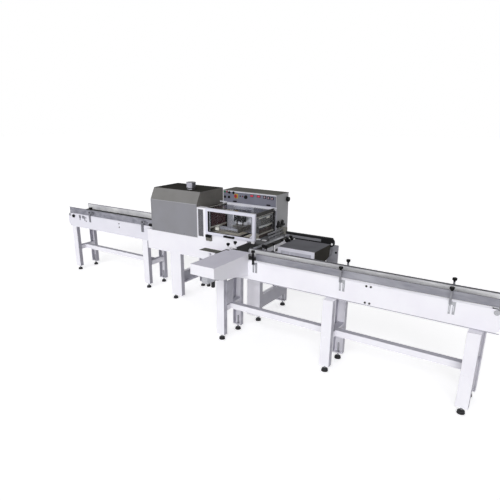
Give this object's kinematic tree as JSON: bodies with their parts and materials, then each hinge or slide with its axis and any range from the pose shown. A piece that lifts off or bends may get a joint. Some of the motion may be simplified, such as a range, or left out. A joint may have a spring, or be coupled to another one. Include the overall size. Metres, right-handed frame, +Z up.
{
  "type": "automatic l-bar sealing line",
  "caption": "L-bar shrink sealer: narrow infeed conveyor, pusher, film cradle, hinged clear guard over an L-shaped jaw, shrink tunnel and wider outfeed conveyor on levelling feet.",
  "frame": {"origin": "on the floor, under the centre of the sealing frame's front left levelling foot", "axes": "+X towards the infeed end, against the flow; +Y from the operator side to the back; +Z up"},
  "size_m": [5.619, 1.718, 1.433],
  "materials": {
    "white_enamel": "satin powder coat, white",
    "dark_metal": "satin, dark grey",
    "foot_black": "moulded, black",
    "zinc_steel": "bright zinc plated",
    "grey_enamel": "satin powder coat, mid grey",
    "brushed_stainless": "brushed along its length",
    "curtain": "silicone strips, dark",
    "belt_beige": "coated belt, beige",
    "vent_dark": "perforated, dark",
    "clear_pane": "clear sheet",
    "black_plastic": "moulded, black",
    "light_grey_enamel": "satin powder coat, light grey",
    "control_face": "lamps, buttons and displays",
    "jaw_metal": "non-stick coated, black",
    "aluminium": "satin anodised",
    "belt_dark": "woven-back belt, dark",
    "cover_grey_enamel": "satin powder coat, pale grey"
  },
  "bodies": {
    "machine": {"main_legs": "white_enamel", "main_crossplates": "white_enamel", "long_skirts": "white_enamel", "skirt_ends": "white_enamel", "machine_deck": "white_enamel", "guard_sill": "white_enamel", "tunnel_hood": "dark_metal", "foot_pads": "foot_black", "foot_rods": "zinc_steel", "tunnel_cover": "grey_enamel", "tunnel_ends": "grey_enamel", "tunnel_chamber": "brushed_stainless", "tunnel_chimney": "zinc_steel", "tunnel_curtains": "curtain", "process_belts": "belt_beige", "process_beds": "zinc_steel", "vent_column": "white_enamel", "vent_grille": "vent_dark", "guard_hinges": "zinc_steel", "guard_latch": "dark_metal", "control_cabinet": "light_grey_enamel", "control_panel": "light_grey_enamel", "panel_controls": "control_face", "cabinet_knob": "black_plastic", "seal_lower_jaw": "dark_metal", "seal_bridge": "aluminium", "seal_cylinders": "dark_metal", "transfer_belt": "belt_dark", "transfer_bed": "zinc_steel", "film_deflector": "dark_metal", "film_rail": "aluminium", "film_rollers": "zinc_steel", "film_cradle": "dark_metal", "cradle_arms": "white_enamel", "cradle_end_plate": "light_grey_enamel", "film_bar": "jaw_metal", "film_guide": "aluminium", "pusher_cover": "cover_grey_enamel", "pusher_drive": "aluminium", "air_unit": "dark_metal", "infeed_stop": "white_enamel", "infeed_beam_inner": "white_enamel", "infeed_beam_outer": "white_enamel", "outfeed_beam": "white_enamel", "conveyor_belts": "belt_dark", "end_rollers": "zinc_steel", "conveyor_guides": "brushed_stainless", "conveyor_legs": "white_enamel", "conveyor_ties": "white_enamel", "guide_posts": "jaw_metal", "post_feet": "zinc_steel", "side_brackets": "zinc_steel", "clamp_knobs": "black_plastic"},
    "guard": {"guard_frame": "white_enamel", "guard_panels": "clear_pane", "guard_handle": "black_plastic"},
    "seal_head": {"seal_head": "jaw_metal"}
  },
  "joints": [
    {"name": "guard_hinge", "type": "hinge", "parent": "machine", "child": "guard", "pos_m": [0.868, 0.333, 1.185], "axis": [-1, 0, 0], "range_deg": [0, 70]},
    {"name": "seal_head_slide", "type": "slide", "parent": "machine", "child": "seal_head", "axis": [0, 0, -1], "range_m": [0, 0.044]}
  ]
}
